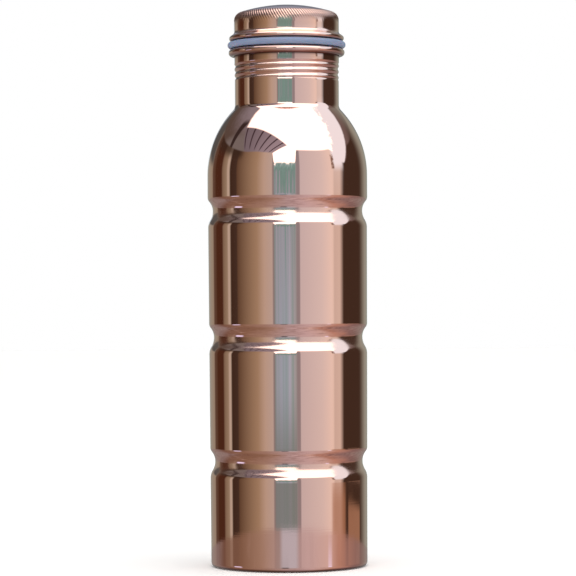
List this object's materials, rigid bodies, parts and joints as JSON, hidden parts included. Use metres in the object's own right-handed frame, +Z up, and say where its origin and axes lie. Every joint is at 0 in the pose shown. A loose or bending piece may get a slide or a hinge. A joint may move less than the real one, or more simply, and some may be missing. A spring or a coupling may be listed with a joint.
{
  "type": "water bottle",
  "caption": "Tall copper drinking bottle with rolled grooves, a round shoulder and a domed screw cap sealed by a silicone ring.",
  "frame": {"origin": "centre of the foot, on the surface the bottle stands on", "axes": "+Z up along the bottle's axis, from the foot to the cap; X and Y across it"},
  "size_m": [0.0756, 0.0756, 0.2655],
  "materials": {
    "body_copper": "polished bare copper, spun, with faint turning marks and finger smudges",
    "cap_copper": "polished bare copper with a finely knurled edge",
    "ring_silicone": "translucent blue-grey silicone rubber, satin"
  },
  "bodies": {
    "bottle": {"body_shell": "body_copper", "base_disc": "body_copper"},
    "ring": {"sealing_ring": "ring_silicone"},
    "cap": {"cap_shell": "cap_copper", "cap_plug": "cap_copper"}
  },
  "joints": [
    {"name": "cap_lift", "type": "slide", "parent": "bottle", "child": "ring", "axis": [0, 0, 1], "range_m": [0, 0.0179]},
    {"name": "cap_turn", "type": "hinge", "parent": "ring", "child": "cap", "pos_m": [0, 0, 0.2465], "axis": [0, 0, 1], "range_deg": [0, 2340]}
  ],
  "couplings": [
    {"joint": "cap_lift", "follows": "cap_turn", "m_per_rad": 0.00043768}
  ]
}
